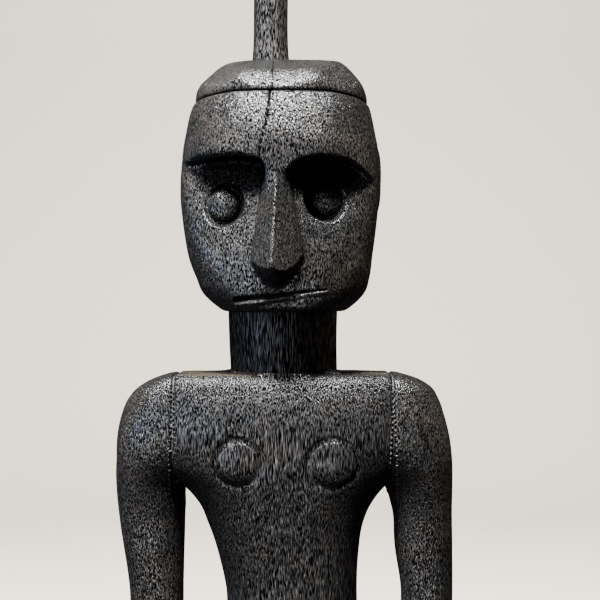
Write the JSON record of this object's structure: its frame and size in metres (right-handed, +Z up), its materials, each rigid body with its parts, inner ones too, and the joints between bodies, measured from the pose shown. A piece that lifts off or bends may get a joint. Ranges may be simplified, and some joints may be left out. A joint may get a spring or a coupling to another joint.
{
  "type": "carved wooden figure with a lidded head",
  "caption": "Standing black-stained wooden ancestor figure with pegged arms, whose head is a small lidded container.",
  "frame": {"origin": "centre of the plinth's underside", "axes": "+Z up, the figure faces -Y, so +X is the figure's own left"},
  "size_m": [0.121, 0.096, 0.473],
  "materials": {
    "stained_wood": "satin, black-stained, open grain",
    "pitch": "rough dark pitch",
    "raw_wood": "unstained, matte"
  },
  "bodies": {
    "figure": {"plinth": "stained_wood", "trunk_and_legs": "stained_wood", "arm_left": "stained_wood", "arm_right": "stained_wood", "shoulder_pitch_left": "pitch", "shoulder_pitch_right": "pitch", "neck_peg": "stained_wood", "shoulder_peg_left_upper": "raw_wood", "shoulder_peg_left_lower": "raw_wood", "shoulder_peg_right_upper": "raw_wood", "shoulder_peg_right_lower": "raw_wood", "foot_peg_left": "raw_wood", "foot_peg_right": "raw_wood"},
    "head_block": {"head": "stained_wood"},
    "lid_and_stem": {"lid": "stained_wood", "lid_stem": "stained_wood"}
  },
  "joints": [
    {"name": "head_turn", "type": "hinge", "parent": "figure", "child": "head_block", "pos_m": [0, 0, 0.341], "axis": [0, 0, 1], "continuous": true},
    {"name": "lid_lift", "type": "slide", "parent": "head_block", "child": "lid_and_stem", "axis": [0, 0, 1], "range_m": [0, 0.04]}
  ]
}
